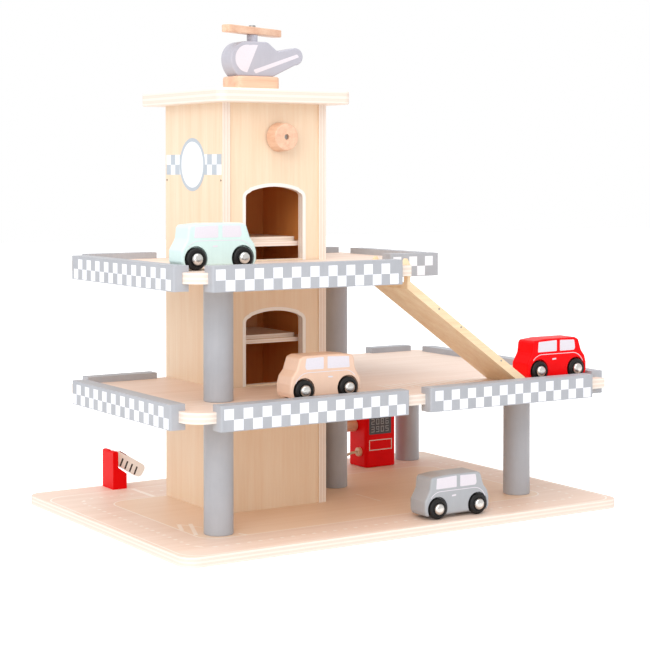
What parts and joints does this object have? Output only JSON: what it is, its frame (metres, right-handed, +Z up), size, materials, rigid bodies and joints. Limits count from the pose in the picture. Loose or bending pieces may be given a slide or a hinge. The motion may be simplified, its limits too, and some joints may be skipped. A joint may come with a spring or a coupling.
{
  "type": "toy parking garage",
  "caption": "Wooden toy parking garage: decks on posts, checkered rails, hand-cranked lift tower, ramp, barrier, fuel pump, rolling cars and a helicopter on the roof.",
  "frame": {"origin": "centre of the base plate's underside", "axes": "+X along the long front side towards the end with the ramp's foot, +Y to the back, +Z up"},
  "size_m": [0.5, 0.35, 0.4906],
  "materials": {
    "printed_base_plywood": "birch plywood with a pale grey and pinkish road print, satin",
    "printed_deck_plywood": "birch plywood with a pale print, satin, bare edges",
    "plywood": "bare birch plywood, sanded and eased, satin",
    "grey_paint": "solid wood painted light grey, satin",
    "checker_paint": "solid wood painted light grey with two rows of white squares, satin",
    "pine": "bare pale softwood with small nail heads",
    "cord_thread": "undyed twisted cotton cord",
    "steel": "plain steel rod",
    "beech": "bare beech, sanded, satin",
    "helicopter_paint": "solid wood painted pale grey with white window and stripe, satin",
    "pump_paint": "solid wood painted red, gloss; the pump has dark and pale printed panels",
    "grommet": "small turned wooden stop",
    "arm_paint": "solid wood painted white with dark slanted stripes",
    "mint_car_paint": "solid wood painted pale mint, gloss",
    "beige_car_paint": "solid wood painted beige, gloss",
    "red_car_paint": "solid wood painted red, gloss",
    "grey_car_paint": "solid wood painted grey, gloss",
    "dome_metal": "bright domed axle ends",
    "wheel_black": "black moulded wheel, satin"
  },
  "bodies": {
    "garage": {"base_plate": "printed_base_plywood", "tower_left_panel": "plywood", "tower_right_panel": "plywood", "tower_front_panel": "plywood", "tower_back_panel": "plywood", "tower_roof": "grey_paint", "mid_deck": "printed_deck_plywood", "top_deck": "printed_deck_plywood", "lower_posts": "grey_paint", "upper_posts": "grey_paint", "mid_rail_front_left": "checker_paint", "mid_rail_front_right": "checker_paint", "mid_rail_left": "checker_paint", "mid_rail_right": "grey_paint", "mid_rail_back_left": "grey_paint", "mid_rail_back_right": "grey_paint", "top_rail_front": "checker_paint", "top_rail_left": "checker_paint", "top_rail_right": "grey_paint", "top_rail_notch": "checker_paint", "top_rail_back": "grey_paint", "ramp_board": "pine", "ramp_strips": "pine", "pump_body": "pump_paint", "pump_grommet": "grommet", "pump_hose": "cord_thread", "pump_nozzle": "beech", "barrier_post": "pump_paint", "barrier_pin": "steel"},
    "lift_car": {"lift_floor_plate": "plywood", "lift_floor_board": "plywood", "lift_back_board": "plywood", "lift_roof_board": "plywood", "lift_roof_plate": "plywood", "lift_cord": "cord_thread"},
    "winch": {"winch_axle": "steel", "winch_drum": "beech", "winch_knob": "beech"},
    "helicopter": {"helicopter_skid": "beech", "helicopter_body": "helicopter_paint", "helicopter_mast": "helicopter_paint", "rotor_pin": "steel"},
    "rotor": {"helicopter_rotor": "beech"},
    "barrier_arm": {"barrier_arm": "arm_paint"},
    "mint_car": {"mint_car_body": "mint_car_paint", "mint_car_axles": "dome_metal"},
    "mint_car_front_wheels": {"mint_car_front_wheels": "wheel_black"},
    "mint_car_rear_wheels": {"mint_car_rear_wheels": "wheel_black"},
    "beige_car": {"beige_car_body": "beige_car_paint", "beige_car_axles": "dome_metal"},
    "beige_car_front_wheels": {"beige_car_front_wheels": "wheel_black"},
    "beige_car_rear_wheels": {"beige_car_rear_wheels": "wheel_black"},
    "red_car": {"red_car_body": "red_car_paint", "red_car_axles": "dome_metal"},
    "red_car_front_wheels": {"red_car_front_wheels": "wheel_black"},
    "red_car_rear_wheels": {"red_car_rear_wheels": "wheel_black"},
    "grey_car": {"grey_car_body": "grey_car_paint", "grey_car_axles": "dome_metal"},
    "grey_car_front_wheels": {"grey_car_front_wheels": "wheel_black"},
    "grey_car_rear_wheels": {"grey_car_rear_wheels": "wheel_black"}
  },
  "joints": [
    {"name": "lift_slide", "type": "slide", "parent": "garage", "child": "lift_car", "axis": [0, 0, 1], "range_m": [-0.1627, 0.074], "deforming": ["lift_cord"]},
    {"name": "winch_spin", "type": "hinge", "parent": "garage", "child": "winch", "pos_m": [-0.0675, 0.0315, 0.376], "axis": [0, 1, 0], "range_deg": [-985, 450]},
    {"name": "helicopter_lift", "type": "slide", "parent": "garage", "child": "helicopter", "axis": [0, 0, 1], "range_m": [0, 0.08]},
    {"name": "rotor_spin", "type": "hinge", "parent": "helicopter", "child": "rotor", "pos_m": [-0.0635, 0.0315, 0.475], "axis": [0, 0, 1], "continuous": true},
    {"name": "barrier_hinge", "type": "hinge", "parent": "garage", "child": "barrier_arm", "pos_m": [-0.162, 0.1584, 0.045], "axis": [0, -1, 0], "range_deg": [0, 115]},
    {"name": "mint_car_roll", "type": "slide", "parent": "garage", "child": "mint_car", "axis": [1, 0, 0], "range_m": [-0.001, 0.1375]},
    {"name": "mint_car_front_spin", "type": "hinge", "parent": "mint_car", "child": "mint_car_front_wheels", "pos_m": [-0.168, -0.118, 0.26425], "axis": [0, 1, 0], "range_deg": [-720, 1440]},
    {"name": "mint_car_rear_spin", "type": "hinge", "parent": "mint_car", "child": "mint_car_rear_wheels", "pos_m": [-0.216, -0.118, 0.26425], "axis": [0, 1, 0], "range_deg": [-720, 1440]},
    {"name": "beige_car_roll", "type": "slide", "parent": "garage", "child": "beige_car", "axis": [1, 0, 0], "range_m": [-0.093, 0.102]},
    {"name": "beige_car_front_spin", "type": "hinge", "parent": "beige_car", "child": "beige_car_front_wheels", "pos_m": [-0.114, -0.136, 0.14175], "axis": [0, 1, 0], "range_deg": [-1260, 1260]},
    {"name": "beige_car_rear_spin", "type": "hinge", "parent": "beige_car", "child": "beige_car_rear_wheels", "pos_m": [-0.066, -0.136, 0.14175], "axis": [0, 1, 0], "range_deg": [-1260, 1260]},
    {"name": "red_car_roll", "type": "slide", "parent": "garage", "child": "red_car", "axis": [1, 0, 0], "range_m": [-0.0035, 0.003]},
    {"name": "red_car_front_spin", "type": "hinge", "parent": "red_car", "child": "red_car_front_wheels", "pos_m": [0.2135, -0.1345, 0.14175], "axis": [0, 1, 0], "range_deg": [-720, 720]},
    {"name": "red_car_rear_spin", "type": "hinge", "parent": "red_car", "child": "red_car_rear_wheels", "pos_m": [0.1655, -0.1345, 0.14175], "axis": [0, 1, 0], "range_deg": [-720, 720]},
    {"name": "grey_car_roll", "type": "slide", "parent": "garage", "child": "grey_car", "axis": [1, 0, 0], "range_m": [-0.255, 0.145]},
    {"name": "grey_car_front_spin", "type": "hinge", "parent": "grey_car", "child": "grey_car_front_wheels", "pos_m": [0.0785, -0.146, 0.01925], "axis": [0, 1, 0], "range_deg": [-2160, 1440]},
    {"name": "grey_car_rear_spin", "type": "hinge", "parent": "grey_car", "child": "grey_car_rear_wheels", "pos_m": [0.0305, -0.146, 0.01925], "axis": [0, 1, 0], "range_deg": [-2160, 1440]}
  ],
  "couplings": [
    {"joint": "winch_spin", "follows": "lift_slide", "rad_per_m": 105.26},
    {"joint": "mint_car_front_spin", "follows": "mint_car_roll", "rad_per_m": 100},
    {"joint": "mint_car_rear_spin", "follows": "mint_car_roll", "rad_per_m": 100},
    {"joint": "beige_car_front_spin", "follows": "beige_car_roll", "rad_per_m": 100},
    {"joint": "beige_car_rear_spin", "follows": "beige_car_roll", "rad_per_m": 100},
    {"joint": "red_car_front_spin", "follows": "red_car_roll", "rad_per_m": 100},
    {"joint": "red_car_rear_spin", "follows": "red_car_roll", "rad_per_m": 100},
    {"joint": "grey_car_front_spin", "follows": "grey_car_roll", "rad_per_m": 100},
    {"joint": "grey_car_rear_spin", "follows": "grey_car_roll", "rad_per_m": 100}
  ]
}
